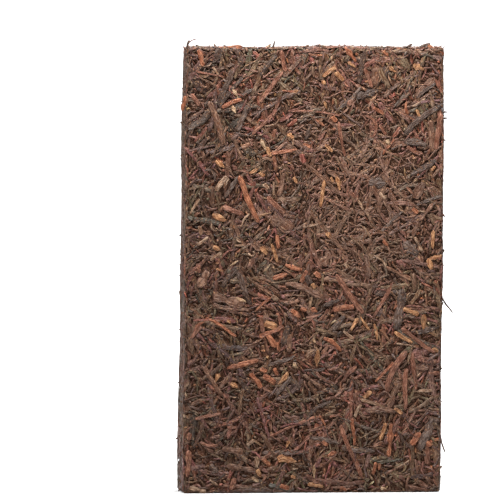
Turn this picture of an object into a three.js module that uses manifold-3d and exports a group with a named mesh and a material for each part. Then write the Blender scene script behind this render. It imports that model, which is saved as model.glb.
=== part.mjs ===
// A brick of pressed ripe tea, standing on one of its short ends, in millimetres with +Z up.
// X runs along its width, Y through its thickness and Z along its length. The origin is the middle of
// the base. The brick is one piece: a core of packed leaf, with the leaf strips and stems that lie
// in its surface fused to it. All of it is pressed flush with the walls of the mould, so the strips are flat
// on top and the gaps between them are the relief.
import * as THREE from "three";
import { mergeVertices } from "three/addons/utils/BufferGeometryUtils.js";
import Module from "manifold-3d";

const WIDTH = 145;
const THICKNESS = 30;
const HEIGHT = 250;
const LEAN = 2; // the top sits this much further along X than the base, as the sides aren't quite square
const CORNER_RADIUS = 4; // the outline's corners, where the leaf didn't fill the mould
const EDGE_ROUNDING = 1.6; // round the rim of both big faces
const RELIEF = 1.2; // depth of the gaps between the strips
const EMBEDDED = 0.9; // how far a strip reaches into the core

const PITCH = 17.6; // from one strip to the next, on average
const JITTER = 0.8; // how far a strip may stray from the middle of its cell, as a share of the cell
const STEM_EVERY = 4; // one strip in so many is a stem, the others are rolled leaves
const LONGEST = 34;
const SHORTEST = 11;
const LENGTH_FALL = 1.5; // how quickly the lengths drop from the longest to the shortest
const LEAF_WIDTHS = [3, 5.6]; // of a rolled leaf's base, at its widest
const STEM_WIDTHS = [2.4, 3.4];
const FLANK = 0.55; // how far a strip's flank leans in from its base to its top
const MOST_BOW = 0.07; // a strip's bow, as a share of its length
const FLUSH_SHARE = 0.6; // of the strips were pressed flush with the mould, the others lie lower
const SUNK = [0.25, 0.65]; // how far those lie below the pressed surface
const SUNK_TILT = THREE.MathUtils.degToRad(0.8); // and how far they slope
const TRIMMED = 0.12; // how far a flush strip rises past the mould's wall before it is cut off there
const EDGE_LENGTH = 24; // the longest strip on a narrow face
const SIDE_SPREAD = THREE.MathUtils.degToRad(28); // the narrow faces show the layers edge on
const SEED = 20260;

const SAME_POINT = 1e-4; // points of a mesh that are nearer than this are one

const wasm = await Module();
wasm.setup();

// A repeatable stream of numbers from 0 to 1.
function randomStream(seed) {
  let state = seed;
  return () => {
    state = (state + 0x6d2b79f5) | 0;
    let mixed = Math.imul(state ^ (state >>> 15), 1 | state);
    mixed = (mixed + Math.imul(mixed ^ (mixed >>> 7), 61 | mixed)) ^ mixed;
    return ((mixed ^ (mixed >>> 14)) >>> 0) / 4294967296;
  };
}

// A closed geometry as a solid that can be joined and cut.
function solidOf(geometry) {
  const bare = geometry.clone();
  bare.deleteAttribute("normal");
  bare.deleteAttribute("uv");
  const merged = mergeVertices(bare, SAME_POINT);
  return new wasm.Manifold(
    new wasm.Mesh({
      numProp: 3,
      vertProperties: merged.attributes.position.array,
      triVerts: new Uint32Array(merged.index.array),
    }),
  );
}

// A solid's largest piece as a geometry. Scraps that the mould cut loose are dropped.
function geometryOf(solid) {
  const pieces = solid.decompose();
  const largest = pieces.reduce((a, b) => (a.volume() > b.volume() ? a : b));
  const mesh = largest.getMesh();
  return new THREE.BufferGeometry()
    .setAttribute("position", new THREE.BufferAttribute(mesh.vertProperties, 3))
    .setIndex(new THREE.BufferAttribute(mesh.triVerts, 1));
}

// A block with rounded corners and a rounded rim, standing on z = inset, inside the mould by inset all round.
function roundedBlock(inset) {
  const width = WIDTH - 2 * inset;
  const height = HEIGHT - 2 * inset;
  const thickness = THICKNESS - 2 * inset;
  const x = width / 2 - EDGE_ROUNDING;
  const y = height / 2 - EDGE_ROUNDING;
  const r = CORNER_RADIUS - EDGE_ROUNDING;
  const outline = new THREE.Shape()
    .moveTo(-x + r, -y)
    .lineTo(x - r, -y)
    .absarc(x - r, -y + r, r, -Math.PI / 2, 0)
    .lineTo(x, y - r)
    .absarc(x - r, y - r, r, 0, Math.PI / 2)
    .lineTo(-x + r, y)
    .absarc(-x + r, y - r, r, Math.PI / 2, Math.PI)
    .lineTo(-x, -y + r)
    .absarc(-x + r, -y + r, r, Math.PI, Math.PI * 1.5);
  const block = new THREE.ExtrudeGeometry(outline, {
    depth: thickness - 2 * EDGE_ROUNDING,
    bevelThickness: EDGE_ROUNDING,
    bevelSize: EDGE_ROUNDING,
    bevelSegments: 2,
    curveSegments: 3,
  });
  block.translate(0, 0, -thickness / 2 + EDGE_ROUNDING);
  block.rotateX(Math.PI / 2);
  block.translate(0, 0, HEIGHT / 2);
  return block;
}

// The outline of a strip lying along X: stations along its length, each with its share of the full width.
// The middle line bows sideways as a parabola that is highest at the middle.
function stripOutline({ length, width, bow, stations }) {
  const side = (sign) =>
    stations.map(
      ([share, wide]) =>
        new THREE.Vector2(
          (share - 0.5) * length,
          bow * (1 - (2 * share - 1) ** 2) + (sign * wide * width) / 2,
        ),
    );
  return [...side(-1), ...side(1).reverse()];
}

// The same outline with every edge moved inwards by a distance, so that the flanks between the two are flat.
function movedIn(points, distance) {
  const edge = (i) => {
    const from = points[(i + points.length) % points.length];
    const to = points[(i + 1) % points.length];
    const way = to.clone().sub(from).normalize();
    const inwards = new THREE.Vector2(-way.y, way.x).multiplyScalar(distance);
    return { from: from.clone().add(inwards), way };
  };
  return points.map((_, i) => {
    const a = edge(i - 1);
    const b = edge(i);
    const gap = b.from.clone().sub(a.from);
    return a.from.addScaledVector(a.way, gap.cross(b.way) / a.way.cross(b.way));
  });
}

// A strip from its base, sunk in the core, up to a flat top.
function stripGeometry(shape, proud) {
  const base = stripOutline(shape);
  const top = movedIn(base, FLANK);
  const strip = new THREE.ExtrudeGeometry(new THREE.Shape(base), {
    depth: EMBEDDED + proud,
    bevelEnabled: false,
  });
  const position = strip.getAttribute("position");
  for (let i = 0; i < position.count; i++) {
    if (position.getZ(i) < EMBEDDED) continue;
    const here = new THREE.Vector2(position.getX(i), position.getY(i));
    const moved = top[base.findIndex((p) => p.distanceTo(here) < SAME_POINT)];
    position.setXY(i, moved.x, moved.y);
  }
  return strip.translate(0, 0, -EMBEDDED);
}

const LEAF_STATIONS = [
  [0, 0.3],
  [0.4, 1],
  [1, 0.2],
];
const STEM_STATIONS = [
  [0, 1],
  [1, 0.85],
];

// One face of the block: where its middle is, the directions along and across it, its size, and whether it is
// a narrow one that shows the layers edge on or the one that the brick rests on.
function face(middle, along, across, length, breadth, kind = {}) {
  const u = new THREE.Vector3(...along);
  const v = new THREE.Vector3(...across);
  const out = new THREE.Vector3().crossVectors(u, v);
  const place = new THREE.Matrix4()
    .makeBasis(u, v, out)
    .setPosition(new THREE.Vector3(...middle));
  return { place, length, breadth, ...kind };
}

function blockFaces() {
  const w = WIDTH / 2 - RELIEF;
  const t = THICKNESS / 2 - RELIEF;
  const top = HEIGHT - RELIEF;
  const half = HEIGHT / 2;
  const edge = { edgeOn: true };
  const base = { edgeOn: true, rests: true };
  return [
    face([0, -t, half], [0, 0, 1], [-1, 0, 0], HEIGHT, WIDTH),
    face([0, t, half], [0, 0, 1], [1, 0, 0], HEIGHT, WIDTH),
    face([-w, 0, half], [0, 0, 1], [0, 1, 0], HEIGHT, THICKNESS, edge),
    face([w, 0, half], [0, 0, 1], [0, -1, 0], HEIGHT, THICKNESS, edge),
    face([0, 0, top], [1, 0, 0], [0, 1, 0], WIDTH, THICKNESS, edge),
    face([0, 0, RELIEF], [1, 0, 0], [0, -1, 0], WIDTH, THICKNESS, base),
  ];
}

// Where the strips of a face lie: one in each cell of a grid of nearly square cells, off its middle by chance
// and in an order by chance. The base has one more, across its middle, for the brick to stand on.
function placesOn({ length, breadth, rests }, random) {
  const columns = Math.round(length / PITCH);
  const rows = Math.round(breadth / PITCH);
  const off = () => 0.5 + (random() - 0.5) * JITTER;
  const cells = Array.from({ length: columns * rows }, (_, i) => ({
    x: (((i % columns) + off()) / columns - 0.5) * length,
    y: ((Math.floor(i / columns) + off()) / rows - 0.5) * breadth,
    rank: random(),
  }));
  cells.sort((a, b) => a.rank - b.rank);
  return rests ? [{ x: 0, y: 0 }, ...cells] : cells;
}

// The strips of one face, the longest first. Those of the base are all flush with the mould.
function stripsOn(target, random) {
  const between = ([low, high]) => low + (high - low) * random();
  const places = placesOn(target, random);
  return places.map(({ x, y }, i) => {
    const stem = i % STEM_EVERY === STEM_EVERY - 1;
    const full =
      SHORTEST +
      (LONGEST - SHORTEST) * (1 - i / places.length) ** LENGTH_FALL;
    const length = target.edgeOn ? Math.min(full, EDGE_LENGTH) : full;
    const turn = target.edgeOn
      ? (random() * 2 - 1) * SIDE_SPREAD
      : random() * Math.PI;
    const flush = target.rests || random() < FLUSH_SHARE;
    const strip = stripGeometry(
      {
        length,
        width: between(stem ? STEM_WIDTHS : LEAF_WIDTHS),
        bow: stem ? 0 : (random() * 2 - 1) * MOST_BOW * length,
        stations: stem ? STEM_STATIONS : LEAF_STATIONS,
      },
      flush ? RELIEF + TRIMMED : RELIEF - between(SUNK),
    );
    if (!flush) strip.rotateY((random() * 2 - 1) * SUNK_TILT);
    strip.rotateZ(turn);
    strip.translate(x, y, 0);
    return solidOf(strip.applyMatrix4(target.place));
  });
}

// The core with the strips of every face, cut to the mould and then leaning a little.
function brickGeometry() {
  const random = randomStream(SEED);
  const strips = blockFaces().flatMap((target) => stripsOn(target, random));
  const core = solidOf(roundedBlock(RELIEF));
  const mould = solidOf(roundedBlock(0));
  const pressed = wasm.Manifold.union([core, ...strips]).intersect(mould);
  const lean = new THREE.Matrix4().makeShear(0, 0, 0, 0, LEAN / HEIGHT, 0);
  return geometryOf(pressed)
    .applyMatrix4(lean)
    .translate(-LEAN / 2, 0, 0);
}

function pressedTea() {
  return new THREE.MeshStandardMaterial({
    color: new THREE.Color(0.16, 0.085, 0.055),
    roughness: 0.72,
    metalness: 0,
  });
}

const brick = new THREE.Group();
const block = new THREE.Mesh(brickGeometry(), pressedTea());
block.name = "tea_brick";
brick.add(block);

export default brick;
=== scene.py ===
"""A brick of pressed ripe tea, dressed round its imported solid.

The brick is laid as the real one is: strips of rolled leaf, stems and buds are dropped course by course on
each of its six sides, every strip comes to rest on those below it, and the heap is then pressed flat by the
mould. Lengths are in millimetres, and the meshes are written in metres.
"""

import logging
import math
from collections.abc import Callable
from dataclasses import dataclass, field, replace
from enum import Enum
from functools import partial
from typing import ClassVar

import bpy
import numpy as np
from mathutils import Euler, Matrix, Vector


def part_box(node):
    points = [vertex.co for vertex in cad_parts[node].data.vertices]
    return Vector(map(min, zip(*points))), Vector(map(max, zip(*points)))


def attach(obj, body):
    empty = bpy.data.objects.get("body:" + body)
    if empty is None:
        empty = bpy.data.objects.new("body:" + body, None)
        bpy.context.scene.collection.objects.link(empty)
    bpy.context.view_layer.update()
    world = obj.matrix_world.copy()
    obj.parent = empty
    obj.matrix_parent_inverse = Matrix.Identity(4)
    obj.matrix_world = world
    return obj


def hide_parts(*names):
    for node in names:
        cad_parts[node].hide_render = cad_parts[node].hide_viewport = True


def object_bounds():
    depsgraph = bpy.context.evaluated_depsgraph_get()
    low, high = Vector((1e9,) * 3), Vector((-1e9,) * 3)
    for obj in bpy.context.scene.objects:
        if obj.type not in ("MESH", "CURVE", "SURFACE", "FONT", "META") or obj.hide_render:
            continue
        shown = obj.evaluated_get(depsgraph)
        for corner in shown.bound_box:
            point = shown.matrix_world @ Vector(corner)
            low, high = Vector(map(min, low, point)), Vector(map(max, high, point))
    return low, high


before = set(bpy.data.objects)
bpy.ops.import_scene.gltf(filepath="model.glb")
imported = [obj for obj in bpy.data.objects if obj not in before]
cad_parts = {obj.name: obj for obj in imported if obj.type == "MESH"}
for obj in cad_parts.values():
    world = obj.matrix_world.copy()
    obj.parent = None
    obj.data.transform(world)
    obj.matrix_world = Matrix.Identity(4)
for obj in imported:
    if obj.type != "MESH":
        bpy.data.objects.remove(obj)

CAD_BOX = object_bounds()
BODY = "root"
NODE = "tea_brick"
METRES = 0.001
SEED = 20261
LOG = logging.getLogger("tea_brick")


class Side(Enum):
    """The six sides of the brick: the directions along it, across it and out of it."""

    FRONT = ((1, 0, 0), (0, 0, 1), (0, -1, 0))
    BACK = ((-1, 0, 0), (0, 0, 1), (0, 1, 0))
    RIGHT = ((0, 1, 0), (0, 0, 1), (1, 0, 0))
    LEFT = ((0, -1, 0), (0, 0, 1), (-1, 0, 0))
    TOP = ((1, 0, 0), (0, 1, 0), (0, 0, 1))
    BASE = ((1, 0, 0), (0, -1, 0), (0, 0, -1))

    @property
    def broad(self) -> bool:
        """Whether this is one of the two big sides, where the leaf lies flat in all directions."""
        return self in (Side.FRONT, Side.BACK)

    @property
    def ways(self) -> tuple[np.ndarray, ...]:
        """Its three directions as arrays."""
        return tuple(np.array(way, float) for way in self.value)


@dataclass(frozen=True)
class Mould:
    """The mould that the leaf was pressed in, and how the brick that came out of it strays from a block.

    edge is the radius of the rounded edges, lean how much further right the top stands than the base, flare
    how far the left side spreads at the bottom towards the back, and swell and unevenness the height of the
    long waves in the big and the narrow sides.
    """

    width: float
    thickness: float
    height: float
    edge: float = 1.5
    lean: float = 2.0
    flare: float = 1.6
    swell: float = 0.22
    unevenness: float = 0.5

    @classmethod
    def of_box(cls, low: Vector, high: Vector) -> "Mould":
        """Reads the mould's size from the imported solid.

        Args:
            low: The solid's lowest corner, in metres.
            high: Its highest corner, in metres.

        Returns:
            The mould that gives a brick of that size.
        """
        width, thickness, height = ((b - a) / METRES for a, b in zip(low, high))
        return cls(width - cls.lean, thickness, height)

    def halves(self, side: Side) -> tuple[float, float, float]:
        """Half the brick's size along, across and out of a side.

        Args:
            side: The side.

        Returns:
            The three half sizes.
        """
        size = np.array((self.width, self.thickness, self.height)) / 2
        return tuple(float(np.abs(way) @ size) for way in side.ways)

    def wrap(self, side: Side, u: np.ndarray, v: np.ndarray, rise: np.ndarray) -> np.ndarray:
        """Folds an unrolled side round the block.

        A point over the flat of the side stays straight over it. What lies past the flat is carried round
        the edge on a circle of the edge's radius plus the point's rise, and after a quarter turn it runs on
        down the next side. The block swells and sinks a little in long waves, and it leans.

        Args:
            side: The side that the points were laid on.
            u: Places along the side, from its middle.
            v: Places across it.
            rise: Heights above the mould's wall, mostly below zero.

        Returns:
            The points, with the three coordinates last.
        """
        along, across, out = side.ways
        half_u, half_v, half_out = self.halves(side)
        flat_u = np.clip(u, self.edge - half_u, half_u - self.edge)
        flat_v = np.clip(v, self.edge - half_v, half_v - self.edge)
        past = np.hypot(u - flat_u, v - flat_v)
        reach = np.maximum(past, 1e-9)
        angle = np.minimum(past / self.edge, math.pi / 2)
        beyond = np.maximum(past - self.edge * math.pi / 2, 0.0)
        radius = self.edge + rise
        sideways = radius * np.sin(angle) / reach
        points = (
            (flat_u + (u - flat_u) * sideways)[..., None] * along
            + (flat_v + (v - flat_v) * sideways)[..., None] * across
            + (half_out - self.edge + radius * np.cos(angle) - beyond)[..., None] * out
        )
        return self.placed(points)

    def placed(self, points: np.ndarray) -> np.ndarray:
        """Stands the block on the floor.

        Every point moves out of the block's middle planes by long waves, is sheared by the lean, and is
        lifted by half the height. The left side also spreads by the flare, in proportion to how far down
        and how far back a point lies. Nothing is left under the floor. The number that divides a place in a
        wave is how many millimetres the wave takes for one radian.

        Args:
            points: Points round the middle of the block.

        Returns:
            The same points where the standing brick has them.
        """
        x, y, z = np.moveaxis(points, -1, 0)
        wave = np.sin(x / 31.0 + 1.3) * np.cos(z / 43.0 + 0.4) + 0.6 * np.sin(x / 17.0 - z / 23.0)
        left = np.clip(-2 * x / self.width, 0, 1) * (0.5 + y / self.thickness) * (0.5 - z / self.height)
        side_wave = np.sin(z / 13.0 + 2.0) + 0.7 * np.sin(z / 29.0 + np.sign(x))
        end_wave = np.sin(x / 11.0 + 0.6) + 0.7 * np.sin(x / 23.0 + np.sign(z))
        x_moved = (x + self.lean * z / self.height - self.flare * left
                   + self.unevenness * side_wave * x / self.width)
        y_moved = y + self.swell * wave * y / (self.thickness / 2)
        z_moved = z + self.unevenness * end_wave * np.maximum(z, 0.0) / self.height
        return np.stack((x_moved, y_moved, np.maximum(z_moved + self.height / 2, 0.0)), axis=-1)

    def straight(self, side: Side, u: np.ndarray, v: np.ndarray, rise: np.ndarray) -> np.ndarray:
        """Places points over a side's plane without folding them round its edges.

        Args:
            side: The side.
            u: Places along the side, from its middle.
            v: Places across it.
            rise: Heights above the mould's wall.

        Returns:
            The points, with the three coordinates last.
        """
        along, across, out = side.ways
        height = self.halves(side)[2] + rise
        return self.placed(u[..., None] * along + v[..., None] * across + height[..., None] * out)


class Form(Enum):
    """How a strip's width runs from one end to the other."""

    LEAF = "leaf"
    STEM = "stem"
    BUD = "bud"
    FLAKE = "flake"

    def width_at(self, s: np.ndarray) -> np.ndarray:
        """The share of the full width at each share s of the length.

        A leaf swells to its middle and ends in two tapers, a stem keeps its width up to blunt ends, a bud
        is fat at its foot and pointed, and a flake is broad nearly to its ends.

        Args:
            s: Shares of the length, from 0 to 1.

        Returns:
            The shares of the width.
        """
        ends = np.clip(4 * s * (1 - s), 0, 1)
        return {
            Form.LEAF: ends**0.22,
            Form.STEM: (1 - np.abs(2 * s - 1) ** 9) ** 0.5 * (1 - 0.16 * s),
            Form.BUD: np.sin(math.pi * np.clip(s, 0, 1) ** 0.62) ** 0.8,
            Form.FLAKE: ends**0.28,
        }[self]


@dataclass(frozen=True)
class Tint:
    """One colour of the leaf, in linear light, and how often it comes up."""

    colour: tuple[float, float, float]
    weight: float = 1.0


CHARRED = (0.050, 0.032, 0.024)
SLATE = (0.077, 0.054, 0.043)
OLIVE = (0.089, 0.058, 0.036)
UMBER = (0.098, 0.055, 0.034)
COCOA = (0.111, 0.061, 0.040)
MAUVE = (0.116, 0.059, 0.047)
RUSSET = (0.146, 0.066, 0.042)
RUST = (0.200, 0.079, 0.041)
AMBER = (0.243, 0.126, 0.060)
STRAW = (0.270, 0.184, 0.112)
BUFF = (0.190, 0.125, 0.082)
REDDER = np.array((0.05, -0.05, -0.015))


@dataclass(frozen=True)
class Kind:
    """One kind of strip: its size, how it bends and curls, and its colours.

    lengths and widths give the range of each, flatness the thickness as a share of the width, bend the most
    it turns from end to end, sway its S-curve, twist the most it rolls from end to end, and groove the depth
    of the furrows along a crumpled leaf. A round strip has its points all round it, the others have most of
    them on top. courses says how many are laid in each course for 1000 square mm, and draws how many places
    are tried for each, of which it takes the lowest.
    """

    name: str
    form: Form
    lengths: tuple[float, float]
    widths: tuple[float, float]
    flatness: tuple[float, float]
    tints: tuple[Tint, ...]
    courses: tuple[float, ...]
    rings: int = 7
    sides: int = 8
    bend: float = 0.5
    sway: float = 0.25
    twist: float = 0.6
    groove: float = 0.25
    rough: float = 0.14
    round: bool = False
    draws: int = 3


DARK = (Tint(CHARRED, 1.6), Tint(SLATE, 3.0), Tint(OLIVE), Tint(UMBER, 3.5), Tint(COCOA, 2.0),
        Tint(MAUVE, 1.4))
BROWN = (Tint(UMBER, 3.2), Tint(COCOA, 3.5), Tint(MAUVE, 2.2), Tint(OLIVE, 0.9), Tint(RUSSET, 1.4))
RED = (Tint(RUSSET, 4.0), Tint(RUST, 1.2), Tint(COCOA, 2.5))
GOLD = (Tint(AMBER, 2.0), Tint(STRAW, 1.0), Tint(RUST, 2.5), Tint(BUFF, 1.5))
FLECKS = (Tint(AMBER, 0.6), Tint(RUST, 0.8), Tint(STRAW, 0.3))

KINDS = (
    Kind("broad_flakes", Form.FLAKE, (7, 17), (3.5, 7.0), (0.14, 0.24), DARK + BROWN, (1.8, 1.3, 0.8, 0.3),
         rings=8, sides=10, bend=0.4, twist=0.25, groove=0.9, rough=0.2),
    Kind("dark_leaves", Form.LEAF, (11, 34), (1.8, 3.6), (0.3, 0.45), DARK, (2.8, 3.2, 3.6, 3.0),
         rings=8, bend=0.6, groove=0.55, rough=0.18),
    Kind("stems", Form.STEM, (11, 34), (1.2, 2.6), (0.5, 0.7), BROWN, (0.8, 1.0, 1.4, 1.5),
         rings=7, bend=0.22, sway=0.1, twist=0.3, groove=0.2, rough=0.1),
    Kind("threads", Form.STEM, (7, 21), (0.8, 1.4), (0.6, 0.9), DARK + BROWN, (2.0, 3.0, 5.0, 6.5),
         bend=1.3, sway=0.6, twist=2.2, groove=0.2, rings=7, sides=5, round=True),
    Kind("brown_leaves", Form.LEAF, (6, 19), (1.4, 3.0), (0.32, 0.5), BROWN, (4.0, 5.0, 6.5, 7.5),
         bend=0.7, groove=0.55, rings=6, sides=7, rough=0.18, draws=5),
    Kind("red_pieces", Form.STEM, (4, 15), (1.0, 2.1), (0.35, 0.6), RED, (0.6, 0.8, 1.0, 0.8),
         bend=0.5, groove=0.4, rings=5, rough=0.16),
    Kind("golden_buds", Form.BUD, (3, 8), (0.9, 2.0), (0.35, 0.55), GOLD, (0.2, 0.3, 0.35, 0.3),
         bend=0.6, groove=0.6, rings=6, rough=0.22),
    Kind("curls", Form.STEM, (4, 10), (0.7, 1.2), (0.6, 0.9), BROWN + (Tint(BUFF),), (0.3, 0.6, 1.0, 1.4),
         bend=3.4, sway=0.6, twist=1.6, groove=0.2, rings=7, sides=5, round=True),
    Kind("shreds", Form.LEAF, (4, 10), (0.9, 1.7), (0.5, 0.8), DARK + BROWN, (6.0, 10.0, 16.0, 20.0),
         bend=1.8, sway=0.5, groove=0.3, rings=4, sides=5, rough=0.2, round=True, draws=7),
    Kind("crumbs", Form.FLAKE, (1.6, 4.2), (0.9, 1.8), (0.5, 0.8), DARK + BROWN + FLECKS,
         (4.0, 8.0, 16.0, 38.0), bend=0.8, groove=0.3, rings=3, sides=5, rough=0.25, round=True, draws=10),
)


@dataclass(frozen=True)
class Seen:
    """Strips of one kind and colour that the photograph shows.

    Each run is a strip's width and then the places that its middle line passes, each as a distance right
    of the front's middle and one up from it.
    """

    kind: str
    colour: tuple[float, float, float]
    runs: tuple[tuple[float, ...], ...]

    def arrays(self, mould: Mould, flatness: float) -> dict[str, np.ndarray]:
        """The places, sizes and colours of the strips.

        A strip is as long as its run, and its angle is the mean heading of the run's stretches, weighted by
        their lengths. Its bend is the turn from the first stretch to the last, drawn out to the ends. The
        mould's lean is taken back, because the brick gets it later.

        Args:
            mould: The mould.
            flatness: The thickness of the strips as a share of their width.

        Returns:
            One array for each value, by its name in Strips.
        """
        columns = []
        for width, *places in self.runs:
            points = np.array(places, float).reshape(-1, 2)
            points[:, 0] -= mould.lean * points[:, 1] / mould.height
            steps = np.diff(points, axis=0)
            spans = np.hypot(*steps.T)
            headings = np.unwrap(np.arctan2(steps[:, 1], steps[:, 0]))
            u, v = np.average((points[1:] + points[:-1]) / 2, axis=0, weights=spans)
            between = spans.sum() - (spans[0] + spans[-1]) / 2
            turned = (headings[-1] - headings[0]) * spans.sum() / max(between, 1e-6)
            columns.append((u, v, np.average(headings, weights=spans), spans.sum(), turned, width))
        u, v, angle, length, bend, width = np.array(columns).T
        return {"u": u, "v": v, "angle": angle, "length": length, "bend": bend, "width": width,
                "thickness": width * flatness, "tint": np.tile(self.colour, (len(u), 1)),
                "twist": np.zeros_like(u), "roll": np.zeros_like(u)}


SEEN = (
    Seen("dark_leaves", CHARRED, (
        (3.5, -45.5, 112.6, -54, 92.3), (2.5, -40.3, 108.5, -53.5, 91.2), (2.5, -20.9, 121, -30.5, 109.4),
        (2.8, -44.5, 124, -39.9, 115.2), (3.3, -1.7, 81.7, -4.8, 73), (3, 28.5, 123.3, 25.4, 104),
        (4, 23.8, 96.5, 36.1, 100.8), (3.3, 73, 94, 49.8, 76), (2.6, 69, 61.7, 54, 53.1),
        (4, -14.4, -31, -17.4, -42), (2.6, 4.5, -20.3, 14.2, -16.6), (3, 58, -35.2, 68.8, -32.6),
        (2.6, -43.9, -59, -35.9, -68.6), (3, -39.4, -11.2, -35.4, -19.2), (3, -42.9, 2.6, -51.5, -9.4))),
    Seen("dark_leaves", SLATE, (
        (2.8, -37, 92.8, -43, 77.7), (2.2, 26.5, 102.9, 20, 95, 12, 88.8), (2.6, -42.4, 53, -50.4, 40.5),
        (2, 50, 33.2, 37.8, 21.9), (4.8, 49.8, -10.5, 46.3, -34), (3.4, 16.9, -25.6, 10.4, -33.7),
        (3.4, -43.4, 0, -37.5, -13.4), (2.4, -10.5, -48, -26, -53.6), (2.6, -12.9, -59.6, -21.4, -70.6),
        (4.5, 67, -82.7, 62.9, -92.3, 59.7, -101.9), (2, 57.5, 36.4, 72.5, 41.7),
        (2.2, -2.4, -93.8, 14.7, -97.1), (2.6, 15.3, -100.3, 34.5, -101.9), (4, 50, 73, 63.4, 70))),
    Seen("brown_leaves", COCOA, (
        (4.5, -58.7, 95, -49.8, 70), (3.5, -16.4, 55, -20, 41), (4, -16.4, -7.4, -0.6, -10.9),
        (4, -6, -10.2, 6.2, -16), (4, 65.5, 84.2, 66.6, 65.4), (2.4, 67.7, 37.5, 59, 27.3),
        (3, 58.6, 26.7, 55.4, 18.7), (3, -62.4, -53.6, -50.9, -71), (3, -46.4, -57.6, -53.4, -66.6),
        (3, -57.4, -19.3, -35.9, -22.7), (3.4, -49.2, -109.8, -32.4, -112.2),
        (4, -51.5, -99.7, -39.4, -102.5), (2.6, -6, -58.3, 4.5, -66.3), (4, 28.6, -78.3, 46.3, -79.4),
        (3, -13.6, -35.7, -14, -46))),
    Seen("broad_flakes", COCOA, (
        (8, -24, 30, -12, 22.5), (4.5, 34.7, 115, 34.7, 103), (6, 9.3, 10, 4, 3),
        (5, -58.9, -0.4, -65.4, -9.4), (4.5, 68.2, 108.3, 57.5, 97), (6, -56.5, -15, -39, -19),
        (4, -34.9, 16.5, -29.9, 11.6), (5, 61.9, 49.2, 56.8, 40), (4, 57.5, -55, 65, -55))),
    Seen("stems", RUSSET, (
        (2.8, -18.7, 123.3, -16, 111), (2.8, -17.6, 111.5, -30.5, 94), (1.2, -15.8, 113.3, -12.5, 111),
        (1.4, -68.2, 111.9, -49.8, 108), (2.4, -34.7, 76, -20.7, 90),
        (1.4, -15.5, 88.9, 5.9, 88.2, 15.5, 85.8), (2.6, 28.5, 113, 33, 101.9),
        (1.8, 28.5, 86.4, 34, 83.2, 32.4, 73.5), (2.2, 36.7, 81.5, 40.4, 75.7),
        (2.2, 13.6, 83.2, 17.4, 62.8), (3.4, 12, -2.2, 28, -25), (2.4, 44.2, -7, 33.4, -27.2),
        (2.8, 52.2, -55, 51.3, -79), (2.6, 55.9, -46, 57.5, -67.9), (3, 49, -32.6, 68.8, -47),
        (4, 52.7, -45.4, 47.4, -51.8, 40.9, -69), (3.5, -70, -100.6, -71.2, -116),
        (2.2, -66.8, -83.2, -51.8, -80), (3, 15.3, -86.4, 18.5, -97.1, 22.8, -106.7, 28, -117.5),
        (3, -29.9, -25.7, -28.9, -35.2), (3.4, -26.4, 41.6, -16.4, 31.5), (3.5, -51.9, 36, -39.4, 31),
        (3.5, 71.5, 88, 68.2, 67))),
    Seen("brown_leaves", RUST, (
        (2.3, -9.1, 67.9, -29.4, 64), (2.8, -40.3, 96, -52, 91.2), (3, -65.4, 123.6, -62, 114),
        (2.8, -14.9, -1.9, -23.5, -4.9), (2.6, -16.4, 3, -6.4, 0), (2.8, 5, -38.5, 9.9, -40, 15.3, -46),
        (3.5, -49.4, -55.1, -30.9, -50.1), (3.6, -28.9, -59.1, -21.4, -63.1), (3, -35.9, -57.6, -29.4, -66.1),
        (3.6, 22.7, -20.2, 10.5, -22.4), (2.8, 17.3, 124.9, 23.8, 116.3), (4, 43.6, -85.8, 42, -105.1),
        (2.4, 21.7, -83.2, 22.8, -98.7), (3.4, 59.7, -91.2, 54.8, -98.7), (2.4, 12.6, -101.9, 7.3, -104.6),
        (3.4, -27, -35.7, -21.4, -43.2), (2.6, -7.9, -21.5, -4, -22.4), (2.6, -1.8, -21.3, 1.9, -23.5))),
)
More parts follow.
